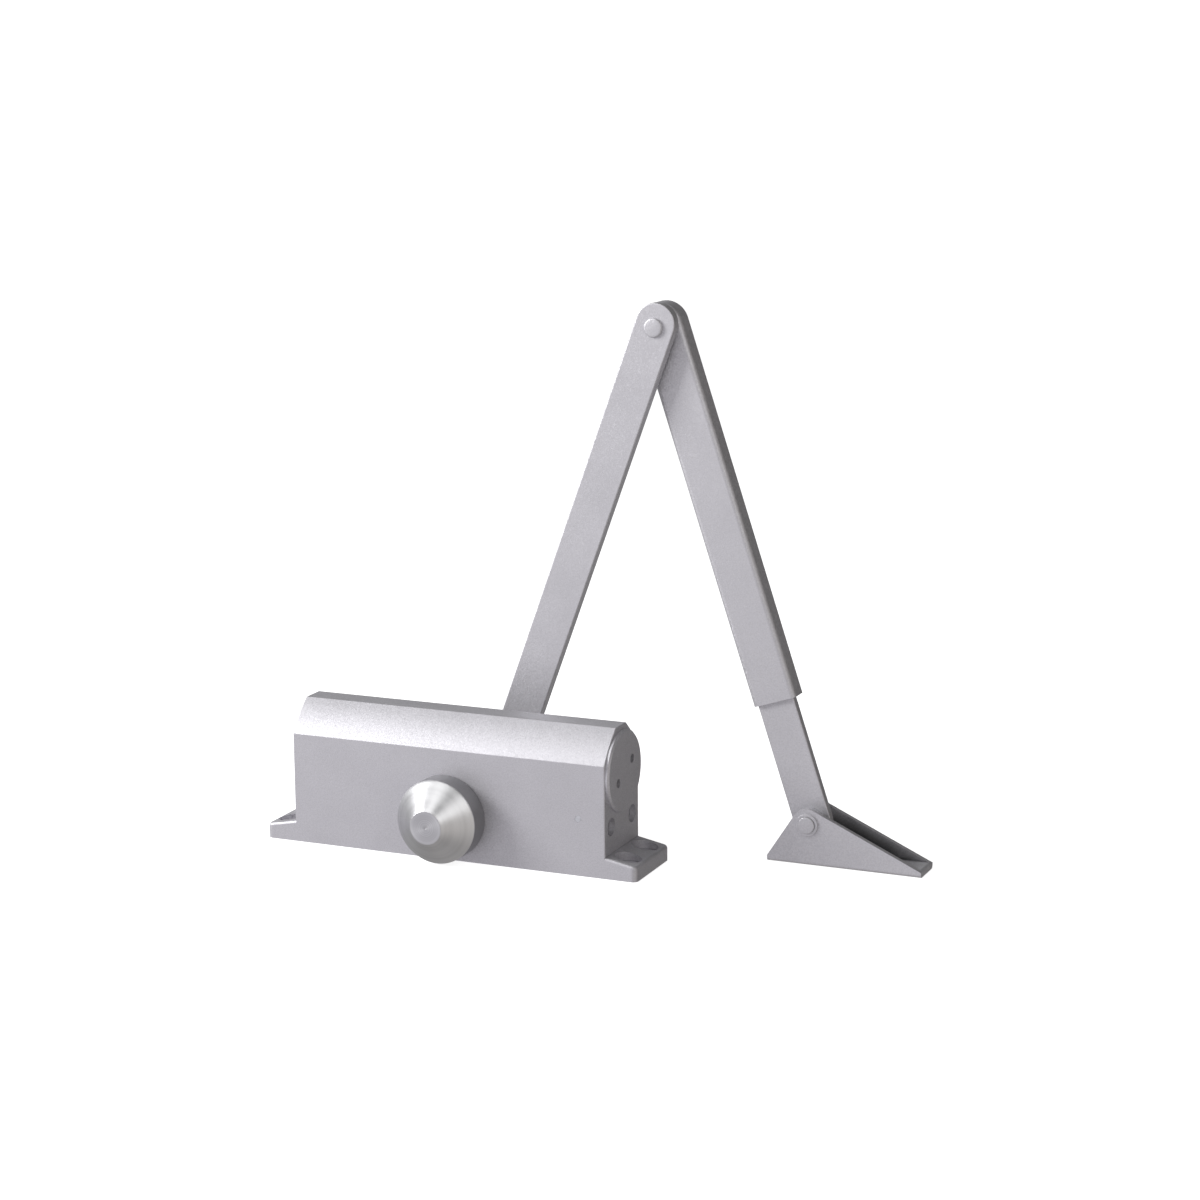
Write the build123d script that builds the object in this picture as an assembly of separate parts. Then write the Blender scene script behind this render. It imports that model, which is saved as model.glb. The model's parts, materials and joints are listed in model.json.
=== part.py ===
from build123d import *
import os
from math import acos, asin, cos, degrees, pi, radians, sin, sqrt, tan

# Rack-and-pinion door closer with its main arm, forearm and frame shoe.
# Lengths are millimetres.  The origin is the centre of the four fixing holes on the
# mounting face.  +X runs along the body towards the valve end and the shoe, -Y is the
# side of the cone cap, +Y the side of the arms, and +Z points away from the mounting face.

# ---- driving dimensions -------------------------------------------------------------
# fits and clearances
static_fit = 0.05          # radial, between pieces that are fixed together
running_fit = 0.05         # radial, between a journal and its bearing
face_gap = 0.1             # axial, between faces that turn or slide on each other
loose_gap = 0.3            # between moving pieces that never touch
overrun = 1.0              # how far a cutting tool runs past the surface it opens

# hydraulic body
body_length = 151.0
bore_radius = 15.6
side_wall = 3.0            # between the bore and the front or back face
top_wall = 4.6             # between the bore and the top face
top_width = 11.0
shoulder_rise = 14.0       # height of the sloping shoulders
shoulder_crown = 0.8       # how far the shoulders bulge
crease_radius = 0.6
foot_length = 14.5
foot_root = 9.4            # foot height where it meets the body
foot_tip = 6.6             # foot height at its outer end
foot_corner = 2.5
foot_edge = 1.3            # rounding of the feet's upper edges
end_edge = 0.5             # rounding of the body's two ends
fixing_pitch_x = 165.0
fixing_pitch_y = 19.0
fixing_hole_radius = 3.25
fixing_seat_radius = 5.8
fixing_seat_height = 4.6   # height of the flat that a screw head seats on

# end caps
cap_lip = 2.6              # how far the cap flange stands past the bore
cap_flange = 1.8
cap_chamfer = 0.8
cap_sink = 0.4             # the left cap's face, in from the body's end
cap_plug = 9.0
cap_spanner_radius = 8.5
cap_spanner_hole = 2.0
cap_spanner_depth = 5.0
cap_spanner_angle = 26.0
cap_ring_wire = 1.1

# pinion and rack
spindle_height = 19.8      # spindle axis above the mounting face
tooth_module = 2.25
pinion_teeth = 10
pressure_angle = 25.0
rack_addendum = 1.9        # low enough not to undercut a ten-tooth pinion
rack_dedendum = 2.7
pinion_root_depth = 2.65
backlash = 0.12
gear_half_width = 9.0
rack_bite = 3.05           # pitch line above the piston's lowest point
spindle_swing = 170.0      # degrees

# spindle, its bearings, seals and cap
journal_radius = 8.0
square_flats = 11.0
needle_radius = 1.05
needle_count = 14
cup_wall = 0.9
nut_lip = 1.0
bearing_length = 8.0
seal_width = 2.2
nut_flange = 2.0
nut_flange_lip = 0.85
cap_cone_radius = 18.7
cap_rim_height = 10.3
cap_cone_height = 10.1
cap_tip_radius = 7.4
front_square_length = 6.0
cap_end_gap = 1.0          # between the spindle's front end and the cone cap

# piston, check valve and springs
piston_clearance = 0.1
piston_stop_gap = 0.5
right_land = 2.8           # length of the piston's land beyond the rack window
pocket_radius = 8.2
pocket_depth = 30.0
outer_wire = 1.7
outer_turns = 4.6
inner_wire = 1.1
inner_turns = 9.0
drain_radius = 1.5
valve_chamber_radius = 3.2
valve_chamber_depth = 14.0
check_ball_radius = 2.6
check_plug_length = 4.0
check_wire = 0.25

# regulating valves and the oil passages
valve_side = 7.1           # valve axis in from the front or back face
valve_below_cap = 4.0      # valve axis below the cap flange
valve_recess_radius = 4.0
valve_recess_depth = 3.0
valve_radius = 3.1
valve_bore_depth = 25.5
valve_screw_length = 18.0
valve_slot = 1.0
valve_head = 1.8           # length of the screw's head in the recess
valve_ring_wire = 0.6
oil_passage_radius = 1.2
oil_passage_offset = 6.0   # from the bottom of the valve bore
passage_plug_radius = 1.5
passage_plug_in = 12.5     # from the valve end
passage_plug_height = 25.4
passage_plug_length = 4.0

# main arm
arm_length = 225.6
arm_angle = 69.78          # degrees above +X
arm_width = 18.0
arm_thickness = 5.0
arm_end_extra = 1.7        # the rounded end is centred this far past the rivet
hub_radius = 12.5
hub_standoff = 10.2        # from the hub's inner face to the arm's front face
hub_gap = 0.7              # between the bearing nut and the hub
arm_edge = 0.5
arm_screw_radius = 3.0
arm_screw_head = 5.2
arm_screw_head_height = 4.5
arm_screw_socket = 5.0
arm_screw_depth = 17.0
arm_washer_radius = 8.5
arm_washer_thickness = 1.3
square_recess = 1.0        # spindle end below the arm's face

# elbow
rivet_radius = 3.0
rivet_head_radius = 4.2
rivet_head_height = 1.4
elbow_washer_radius = 8.5
elbow_washer_thickness = 1.2

# forearm channel and its clamp
channel_width = 20.5
channel_wall = 1.5
channel_depth = 9.2
channel_bend = 2.4
channel_length = 170.0     # from the elbow to the open end
stud_distance = 130.0
stud_radius = 3.0
clamp_plate_length = 22.0
clamp_plate_thickness = 1.5
clamp_nut_flats = 10.0
clamp_nut_height = 4.6

# adjusting rod
reach = 224.7              # from the elbow to the shoe pin
rod_thickness = 4.0
rod_eye_radius = 8.55
rod_side_gap = 0.2         # between the rod and the channel
rod_edge = 0.6
travel_in = 33.0
travel_out = 25.0
rod_tail = 8.0             # metal past the end of the slot

# frame shoe
shoe_pin_height = 18.2
shoe_heel = 18.4           # from the pin to the short end
shoe_toe = 51.7            # from the pin to the long end
shoe_heel_height = 2.6
shoe_toe_height = 2.5
shoe_crown = 7.0           # radius of the cheek about the pin
shoe_gap = 12.0
shoe_cheek = 2.5
shoe_base = 3.0
shoe_bend = 1.5
shoe_hole_radius = 2.6
shoe_sink_radius = 5.0
shoe_hole_in = 8.7         # first hole, from the pin towards the short end
shoe_hole_pitch = 46.0
pin_radius = 3.0
pin_head_radius = 5.0
pin_head_height = 1.8
pin_button_radius = 3.7
spacer_radius = 6.0

# ---- places that follow from the sizes ------------------------------------------------
half_length = body_length / 2
half_depth = bore_radius + side_wall
piston_radius = bore_radius - piston_clearance
pitch_radius = tooth_module * pinion_teeth / 2
tooth_pitch = pi * tooth_module
pitch_line = spindle_height + pitch_radius
bore_height = pitch_line + piston_radius - rack_bite
body_top = bore_height + bore_radius + top_wall
shoulder_foot = body_top - shoulder_rise
cap_radius = bore_radius + cap_lip
cap_inner = half_length - cap_plug

tip_radius = pitch_radius + tooth_module
root_radius = pitch_radius - pinion_root_depth
base_radius = pitch_radius * cos(radians(pressure_angle))
rack_root = pitch_line + rack_dedendum
cross_bore_radius = tip_radius + loose_gap
nut_inner = gear_half_width + loose_gap
bearing_bore = journal_radius + running_fit + 2 * needle_radius + cup_wall
nut_outer = half_depth + nut_flange
nut_flange_radius = cross_bore_radius + nut_flange_lip
stroke = radians(spindle_swing) * pitch_radius

valve_y = half_depth - valve_side
valve_height = bore_height - cap_radius - valve_below_cap

arm_front = nut_outer + hub_gap + hub_standoff
arm_back = arm_front + arm_thickness
web_front = arm_back + elbow_washer_thickness + face_gap
web_back = web_front + channel_wall
rod_front = web_back + rod_side_gap
rod_back = rod_front + rod_thickness
rod_width = channel_width - 2 * channel_wall - 2 * rod_side_gap
cheek_inner_front = (rod_front + rod_back - shoe_gap) / 2
cheek_inner_back = cheek_inner_front + shoe_gap

elbow_x = arm_length * cos(radians(arm_angle))
elbow_z = spindle_height + arm_length * sin(radians(arm_angle))
forearm_drop = asin((elbow_z - shoe_pin_height) / reach)
pin_x = elbow_x + reach * cos(forearm_drop)

FLOOR_UP = (Align.CENTER, Align.CENTER, Align.MIN)
ALONG = (Align.MIN, Align.CENTER)
SPINDLE = Plane(origin=(0, 0, spindle_height), x_dir=(1, 0, 0), z_dir=(0, 1, 0))
ELBOW = Plane(origin=(elbow_x, 0, elbow_z), x_dir=(1, 0, 0), z_dir=(0, 1, 0))
SHOE_PIN = Plane(origin=(pin_x, 0, shoe_pin_height), x_dir=(1, 0, 0), z_dir=(0, 1, 0))
BORE = Plane(origin=(0, 0, bore_height), x_dir=(0, 1, 0), z_dir=(1, 0, 0))


def drum(plane, radius, start, end):
    """Cylinder along the plane's normal between two distances from the plane."""
    return plane.offset(start) * Cylinder(radius, end - start, align=FLOOR_UP)


def ring(plane, outer, inner, start, end):
    """Tube along the plane's normal."""
    return drum(plane, outer, start, end) - drum(plane, inner, start - overrun, end + overrun)


def plate(outline, y_low, y_high):
    """Outline drawn in X and Z, given a thickness along Y."""
    return extrude(Plane.XZ.offset(-y_high) * outline, y_high - y_low)


def along_arm(outline):
    """Place an outline drawn along +X so that it starts at the spindle."""
    return Pos(0, spindle_height) * Rot(0, 0, arm_angle) * outline


def along_forearm(outline):
    """Place an outline drawn along +X so that it starts at the elbow."""
    return Pos(elbow_x, elbow_z) * Rot(0, 0, -degrees(forearm_drop)) * outline


def bar(start, end, width):
    """Rectangle along +X."""
    return Pos(start, 0) * Rectangle(end - start, width, align=ALONG)


def o_ring(plane, outer, wire, distance):
    """Round-section sealing ring."""
    return plane.offset(distance) * Torus(outer - wire, wire)


def coil(plane, mean_radius, wire, turns, start, end):
    """Compression spring between two seats on the plane's normal."""
    path = Helix(pitch=(end - start - 2 * wire) / turns, height=end - start - 2 * wire, radius=mean_radius)
    section = Plane(origin=path @ 0, z_dir=path % 0) * Circle(wire)
    return plane.offset(start + wire) * sweep(section, path=path, is_frenet=True)


# ---- hydraulic body -------------------------------------------------------------------
def body_shell():
    """Prism of the body's end view, with its crisp creases just rounded."""
    half_top = top_width / 2
    bulge_y = (half_depth + half_top) / 2 + shoulder_crown / sqrt(2)
    bulge_z = shoulder_foot + shoulder_rise / 2 + shoulder_crown / sqrt(2)
    edges = [
        Line((-half_depth, 0), (half_depth, 0)),
        Line((half_depth, 0), (half_depth, shoulder_foot)),
        ThreePointArc((half_depth, shoulder_foot), (bulge_y, bulge_z), (half_top, body_top)),
        Line((half_top, body_top), (-half_top, body_top)),
        ThreePointArc((-half_top, body_top), (-bulge_y, bulge_z), (-half_depth, shoulder_foot)),
        Line((-half_depth, shoulder_foot), (-half_depth, 0)),
    ]
    end_view = Plane(origin=(-half_length, 0, 0), x_dir=(0, 1, 0), z_dir=(1, 0, 0)) * make_face(edges)
    prism = extrude(end_view, body_length)
    creases = [e for e in prism.edges().filter_by(Axis.X) if e.center().Z > foot_root]
    prism = fillet(creases, crease_radius)
    rims = [e for e in prism.edges() if abs(e.center().X) > half_length - overrun and e.center().Z > foot_tip]
    return fillet(rims, end_edge)


def feet():
    """Slab under the body whose two ends are the fixing feet."""
    tip = half_length + foot_length
    outline = Polygon(
        (-tip, 0), (tip, 0), (tip, foot_tip), (half_length, foot_root), (-half_length, foot_root),
        (-tip, foot_tip), align=None)
    slab = plate(outline, -half_depth, half_depth)
    slab = fillet(slab.edges().filter_by(Axis.Z), foot_corner)
    upper = [e for e in slab.edges() if e.center().Z > foot_tip - overrun and abs(e.center().X) > half_length]
    return fillet(upper, foot_edge)


def fixing_holes():
    """Drills and screw seats of the four fixing holes."""
    tools = []
    for spot in GridLocations(fixing_pitch_x, fixing_pitch_y, 2, 2):
        tools.append(spot * Pos(0, 0, -overrun) * Cylinder(fixing_hole_radius, 2 * foot_root, align=FLOOR_UP))
        tools.append(spot * Pos(0, 0, fixing_seat_height) * Cylinder(fixing_seat_radius, foot_root, align=FLOOR_UP))
    return tools


def valve_plane(side):
    """Axis of a regulating valve, pointing out of the valve end."""
    return Plane(origin=(half_length, side * valve_y, valve_height), x_dir=(0, 1, 0), z_dir=(1, 0, 0))


def passage_plane():
    """Axis of the cross passage, pointing into the body from the front face."""
    return Plane(origin=(half_length - passage_plug_in, -half_depth, passage_plug_height),
                 x_dir=(1, 0, 0), z_dir=(0, 1, 0))


def closer_body():
    """Cast body with the piston bore, the spindle bore, the valve bores and the feet."""
    body = body_shell() + feet()
    body -= drum(BORE, bore_radius, -half_length - overrun, half_length + overrun)
    body -= drum(SPINDLE, cross_bore_radius, -half_depth - overrun, half_depth + overrun)
    body -= fixing_holes()
    for side in (-1, 1):
        axis = valve_plane(side)
        body -= drum(axis, valve_recess_radius, -valve_recess_depth, overrun)
        body -= drum(axis, valve_radius, -valve_bore_depth, overrun)
        port = Pos(half_length - valve_bore_depth + oil_passage_offset, side * valve_y, valve_height)
        body -= port * Cylinder(oil_passage_radius, bore_height - valve_height, align=FLOOR_UP)
    body -= drum(passage_plane(), passage_plug_radius, -overrun, valve_side)
    return body


def end_cap(side):
    """Threaded cap with two spanner holes: flanged at the valve end, sunk in the bore at the other."""
    plane = Plane(origin=(side * half_length, 0, bore_height), x_dir=(0, side, 0), z_dir=(side, 0, 0))
    face = cap_flange if side > 0 else -cap_sink
    cap = drum(plane, bore_radius - static_fit, -cap_plug, min(face, 0))
    if side > 0:
        flange = drum(plane, cap_radius, 0, cap_flange)
        cap += chamfer(flange.edges().group_by(Axis.X)[-1], cap_chamfer)
    groove_floor = bore_radius - 2 * cap_ring_wire - static_fit
    cap -= ring(plane, bore_radius + overrun, groove_floor, -cap_plug / 2 - 1.2 * cap_ring_wire,
                -cap_plug / 2 + 1.2 * cap_ring_wire)
    for turn in (0, 180):
        spot = Rot(0, 0, cap_spanner_angle + turn) * Pos(cap_spanner_radius, 0, face)
        cap -= plane * spot * Cylinder(cap_spanner_hole, 2 * cap_spanner_depth)
    return cap


def cap_o_ring(side):
    """Sealing ring in the end cap's groove."""
    plane = Plane(origin=(side * half_length, 0, bore_height), x_dir=(0, side, 0), z_dir=(side, 0, 0))
    return o_ring(plane, bore_radius - static_fit / 2, cap_ring_wire, -cap_plug / 2)


def spindle_side(side):
    """Spindle axis pointing out of the front (-1) or back (+1) of the body."""
    return Plane(origin=(0, 0, spindle_height), x_dir=(1, 0, 0), z_dir=(0, side, 0))


def bearing_nut(side):
    """Threaded nut that holds a needle bearing and a seal in the spindle bore."""
    plane = spindle_side(side)
    nut = drum(plane, cross_bore_radius - static_fit, nut_inner, half_depth)
    nut += drum(plane, nut_flange_radius, half_depth, nut_outer)
    nut -= drum(plane, bearing_bore + static_fit, nut_inner + nut_lip, nut_outer + overrun)
    nut -= drum(plane, journal_radius + loose_gap, nut_inner - overrun, nut_outer)
    return nut


def needle_bearing(side):
    """Drawn cup with its needles round the spindle's journal."""
    plane = spindle_side(side)
    start = nut_inner + nut_lip
    end = start + bearing_length
    cup = ring(plane, bearing_bore, journal_radius + loose_gap, start, end)
    race = bearing_bore - cup_wall
    cup -= drum(plane, race, start + cup_wall, end - cup_wall)
    orbit = race - needle_radius
    needles = []
    for spot in PolarLocations(orbit, needle_count):
        length = bearing_length - 2 * cup_wall - 2 * face_gap
        roller = Cylinder(needle_radius - static_fit / 2, length, align=FLOOR_UP)
        needles.append(plane.offset(start + cup_wall + face_gap) * spot * roller)
    return Compound(children=[cup, *needles])


def pinion_seal(side):
    """Lip seal outside the needle bearing."""
    plane = spindle_side(side)
    start = nut_inner + nut_lip + bearing_length
    return ring(plane, bearing_bore, journal_radius + running_fit, start, start + seal_width)


def pinion_cap():
    """Turned cone cap over the front bearing nut, hollow round the spindle's end."""
    plane = spindle_side(-1).offset(half_depth)
    cap = drum(plane, cap_cone_radius, 0, cap_rim_height)
    cone = Cone(cap_cone_radius, cap_tip_radius, cap_cone_height, align=FLOOR_UP)
    cap += plane.offset(cap_rim_height) * cone
    depth = nut_flange + front_square_length + cap_end_gap
    return cap - drum(plane, nut_flange_radius + static_fit, -overrun, depth)


def passage_plug():
    """Pressed plug in the end of the cross passage."""
    return drum(passage_plane(), passage_plug_radius - static_fit, running_fit, passage_plug_length)


def valve_screw(side):
    """Regulating screw with a needle tip, a ring groove and a screwdriver slot."""
    axis = valve_plane(side).offset(-valve_recess_depth - overrun)
    screw = drum(axis, valve_radius - running_fit, -valve_screw_length, 0)
    tip = axis.offset(-valve_screw_length) * Cone(0.4, valve_radius - 1.5, 2.5, align=(
        Align.CENTER, Align.CENTER, Align.MAX))
    screw += tip
    groove_floor = valve_radius - running_fit - 2 * valve_ring_wire
    screw -= ring(axis, valve_radius, groove_floor, -6.0 - valve_ring_wire, -6.0 + valve_ring_wire)
    head = drum(axis, valve_radius - running_fit, 0, valve_head)
    screw += chamfer(head.edges().group_by(Axis.X)[-1], valve_head / 4)
    return screw - axis.offset(valve_head) * Box(valve_slot, 3 * valve_radius, 2.4)


def valve_o_ring(side):
    """Sealing ring in the regulating screw's groove."""
    axis = valve_plane(side).offset(-valve_recess_depth - overrun)
    return o_ring(axis, valve_radius - running_fit, valve_ring_wire * 0.95, -6.0)


# ---- spindle, pinion and main arm -------------------------------------------------------
def half_tooth(radius):
    """Half the angle that a pinion tooth takes up at a radius, in radians."""
    def involute(angle):
        return tan(angle) - angle
    pitch_half = (tooth_pitch / 2 - backlash) / (2 * pitch_radius)
    return pitch_half + involute(radians(pressure_angle)) - involute(acos(min(1.0, base_radius / radius)))


def polar(radius, angle):
    """Point at a radius and an angle in radians."""
    return (radius * cos(angle), radius * sin(angle))


def pinion_section():
    """Pinion's tooth outline, with one tooth towards the rack at rest."""
    step = 2 * pi / pinion_teeth
    radii = [base_radius + (tip_radius - base_radius) * i / 4 for i in range(5)]
    edges = []
    for tooth in range(pinion_teeth):
        middle = -pi / 2 + tooth * step
        rising = [polar(r, middle - half_tooth(r)) for r in radii]
        falling = [polar(r, middle + half_tooth(r)) for r in reversed(radii)]
        foot = half_tooth(base_radius)
        edges.append(Line(polar(root_radius, middle - foot), rising[0]))
        edges.append(Spline(rising))
        edges.append(ThreePointArc(rising[-1], polar(tip_radius, middle), falling[0]))
        edges.append(Spline(falling))
        edges.append(Line(falling[-1], polar(root_radius, middle + foot)))
        edges.append(ThreePointArc(polar(root_radius, middle + foot), polar(root_radius, middle + step / 2),
                                   polar(root_radius, middle + step - foot)))
    return make_face(edges)


def pinion_shaft():
    """Spindle with its pinion, two journals and two square ends."""
    shaft = extrude(SPINDLE.offset(-gear_half_width) * pinion_section(), 2 * gear_half_width)
    shaft += drum(SPINDLE, journal_radius, -nut_outer, nut_outer)
    rear_end = arm_back - square_recess
    square = Rectangle(square_flats, square_flats)
    shaft += extrude(SPINDLE.offset(nut_outer) * Rot(0, 0, -arm_angle) * square, rear_end - nut_outer)
    shaft += extrude(SPINDLE.offset(-nut_outer - front_square_length) * square, front_square_length)
    thread = drum(SPINDLE, arm_screw_radius + static_fit, rear_end - arm_screw_depth - overrun, rear_end + overrun)
    return shaft - thread


def main_arm():
    """Flat arm with a hub that drives from the spindle's square."""
    end = arm_length + arm_end_extra
    outline = along_arm(bar(0, end, arm_width) + Pos(end, 0) * Circle(arm_width / 2))
    blade = plate(outline, arm_front, arm_back)
    rims = blade.edges().group_by(Axis.Y)
    arm = fillet(rims[0] + rims[-1], arm_edge)
    arm += drum(SPINDLE, hub_radius, arm_front - hub_standoff, arm_back)
    socket = square_flats + 2 * running_fit
    arm -= extrude(SPINDLE.offset(arm_front - hub_standoff - overrun) * Rot(0, 0, -arm_angle)
                   * Rectangle(socket, socket), hub_standoff + arm_thickness + 2 * overrun)
    return arm - drum(ELBOW, rivet_radius + static_fit, arm_front - overrun, arm_back + overrun)


def arm_washer():
    """Washer under the arm screw's head."""
    return ring(SPINDLE, arm_washer_radius, arm_screw_radius + static_fit, arm_back, arm_back + arm_washer_thickness)


def arm_screw():
    """Socket screw that holds the arm on the spindle."""
    seat = arm_back + arm_washer_thickness
    screw = drum(SPINDLE, arm_screw_radius, arm_back - square_recess - arm_screw_depth, seat)
    head = drum(SPINDLE, arm_screw_head, seat, seat + arm_screw_head_height)
    head = fillet(head.edges().group_by(Axis.Y)[-1], arm_screw_head_height / 5)
    socket = RegularPolygon(arm_screw_socket / 2, 6, major_radius=False)
    depth = arm_screw_head_height * 0.6
    return screw + head - extrude(SPINDLE.offset(seat + arm_screw_head_height - depth) * socket, depth + overrun)


def elbow_rivet():
    """Rivet that is the elbow's pivot, with a low head at each side."""
    rivet = drum(ELBOW, rivet_radius, arm_front, web_back + face_gap)
    front = drum(ELBOW, rivet_head_radius, arm_front - rivet_head_height, arm_front)
    front = fillet(front.edges().group_by(Axis.Y)[0], rivet_head_height / 2)
    back_start = web_back + face_gap
    back = drum(ELBOW, rivet_head_radius, back_start, back_start + rivet_head_height)
    back = fillet(back.edges().group_by(Axis.Y)[-1], rivet_head_height / 2)
    return rivet + front + back


def elbow_washer():
    """Washer between the main arm and the channel."""
    return ring(ELBOW, elbow_washer_radius, rivet_radius + static_fit, arm_back, arm_back + elbow_washer_thickness)


# ---- piston, check valve and springs -----------------------------------------------------
def window_left():
    """Left end of the piston's rack window, clear of the pinion at the end of the stroke."""
    drop = bore_height - piston_radius - spindle_height
    return -stroke - sqrt(tip_radius ** 2 - drop ** 2) - overrun


def window_right():
    """Right end of the rack window, clear of the pinion at rest."""
    drop = bore_height - piston_radius - spindle_height
    return sqrt(tip_radius ** 2 - drop ** 2) + overrun / 2


def rack_teeth():
    """Rack teeth under the piston, with a space over the spindle at rest."""
    slope = tan(radians(pressure_angle))
    half = tooth_pitch / 4 - backlash / 2
    tip = half - rack_addendum * slope
    root = half + rack_dedendum * slope
    first = int(-(window_left() + root) / tooth_pitch - 0.5)
    teeth = []
    for number in range(-first - 1, 1):
        middle = (number + 0.5) * tooth_pitch
        outline = Polygon(
            (middle - tip, pitch_line - rack_addendum), (middle + tip, pitch_line - rack_addendum),
            (middle + root, rack_root), (middle + root, rack_root + overrun),
            (middle - root, rack_root + overrun), (middle - root, rack_root), align=None)
        teeth.append(plate(outline, -gear_half_width, gear_half_width))
    return teeth


def piston():
    """Piston with a rack on its underside, a spring pocket and the check valve's chamber."""
    left = piston_stop_gap - cap_inner
    right = window_right() + right_land
    blank = drum(BORE, piston_radius, left, right)
    window = Box(window_right() - window_left(), 4 * bore_radius, rack_root, align=(
        Align.MIN, Align.CENTER, Align.MAX))
    body = blank - Pos(window_left(), 0, rack_root) * window
    for tooth in rack_teeth():
        body += tooth & blank
    body -= drum(BORE, pocket_radius, right - pocket_depth, right + overrun)
    body -= drum(BORE, drain_radius, left, right)
    return body - drum(BORE, valve_chamber_radius, left - overrun, left + valve_chamber_depth)


def check_ball_place():
    """Distance along the bore of the resting check ball's centre."""
    seat = piston_stop_gap - cap_inner + valve_chamber_depth
    return seat - sqrt(check_ball_radius ** 2 - drain_radius ** 2) - running_fit


def check_ball():
    """Ball that closes the passage through the piston."""
    return BORE.offset(check_ball_place()) * Sphere(check_ball_radius)


def check_plug():
    """Ring plug that holds the check spring in the piston."""
    left = piston_stop_gap - cap_inner
    return ring(BORE, valve_chamber_radius - static_fit, drain_radius, left, left + check_plug_length)


def check_spring():
    """Light spring behind the check ball."""
    start = piston_stop_gap - cap_inner + check_plug_length
    end = check_ball_place() - sqrt(check_ball_radius ** 2 - drain_radius ** 2)
    return coil(BORE, drain_radius + check_wire, check_wire, 3.0, start, end)


def outer_spring():
    """Main closing spring between the piston and the right cap."""
    mean = bore_radius - 2 * loose_gap - outer_wire
    return coil(BORE, mean, outer_wire, outer_turns, window_right() + right_land + face_gap, cap_inner - face_gap)


def inner_spring():
    """Second closing spring, from the bottom of the piston's pocket to the right cap."""
    mean = pocket_radius - 2 * loose_gap - inner_wire
    start = window_right() + right_land - pocket_depth + face_gap
    return coil(BORE, mean, inner_wire, inner_turns, start, cap_inner - face_gap)


# ---- forearm --------------------------------------------------------------------------
def forearm_channel():
    """Pressed trough, open at the back and the lower end, closed round the elbow."""
    half = channel_width / 2
    inner_half = half - channel_wall
    outer = along_forearm(bar(0, channel_length, channel_width) + Circle(half))
    inner = along_forearm(bar(0, channel_length + overrun, 2 * inner_half) + Circle(inner_half))
    pressed = plate(outer, web_front, web_front + channel_depth)
    front_rim = pressed.edges().group_by(Axis.Y)[0]
    open_end = along_forearm(Pos(channel_length, 0) * Circle(1)).center()
    channel = fillet([e for e in front_rim if abs(e.center().Z - open_end.Y) > overrun], channel_bend)
    hollow = plate(inner, web_back, web_back + channel_depth)
    channel -= fillet(hollow.edges().group_by(Axis.Y)[0], channel_bend - channel_wall)
    return channel - drum(ELBOW, rivet_radius + running_fit, web_front - overrun, web_back + overrun)


def stud_plane():
    """Axis of the clamp stud."""
    x = elbow_x + stud_distance * cos(forearm_drop)
    z = elbow_z - stud_distance * sin(forearm_drop)
    return Plane(origin=(x, 0, z), x_dir=(cos(forearm_drop), 0, -sin(forearm_drop)), z_dir=(0, 1, 0))


def clamp_stud():
    """Stud welded inside the channel's web, through the rod's slot."""
    return drum(stud_plane(), stud_radius, web_back, clamp_seat() + clamp_nut_height)


def clamp_seat():
    """Height of the clamp plate's outer face, where the nut seats."""
    return rod_back + face_gap + clamp_plate_thickness


def clamp_plate():
    """Plate under the nut that presses the rod into the channel."""
    face = Rectangle(clamp_plate_length, rod_width - 2 * rod_side_gap)
    block = extrude(stud_plane().offset(rod_back + face_gap) * face, clamp_plate_thickness)
    return block - drum(stud_plane(), stud_radius + static_fit, rod_back - overrun, clamp_seat() + overrun)


def clamp_nut():
    """Hexagon nut that locks the rod's length."""
    hexagon = RegularPolygon(clamp_nut_flats / 2, 6, major_radius=False)
    nut = extrude(stud_plane().offset(clamp_seat()) * hexagon, clamp_nut_height)
    crown = drum(stud_plane(), clamp_nut_flats * 0.6, clamp_seat(), clamp_seat() + clamp_nut_height)
    nut &= chamfer(crown.edges().group_by(Axis.Y)[-1], clamp_nut_flats * 0.06, clamp_nut_flats * 0.12)
    return nut - drum(stud_plane(), stud_radius + static_fit, rod_back, clamp_seat() + clamp_nut_height + overrun)


def adjusting_rod():
    """Flat rod with a long slot for the stud and an eye for the shoe pin."""
    slot_half = stud_radius + face_gap
    near = stud_distance - travel_out
    far = stud_distance + travel_in
    tail = near - slot_half - rod_tail
    outline = bar(tail, reach, rod_width) + Pos(reach, 0) * Circle(rod_eye_radius)
    slot = bar(near, far, 2 * slot_half) + Pos(near, 0) * Circle(slot_half) + Pos(far, 0) * Circle(slot_half)
    eye = Pos(reach, 0) * Circle(pin_radius + running_fit)
    blank = plate(along_forearm(outline), rod_front, rod_back)
    rims = blank.edges().group_by(Axis.Y)
    blank = fillet(rims[0] + rims[-1], rod_edge)
    return blank - plate(along_forearm(slot + eye), rod_front - overrun, rod_back + overrun)


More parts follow.
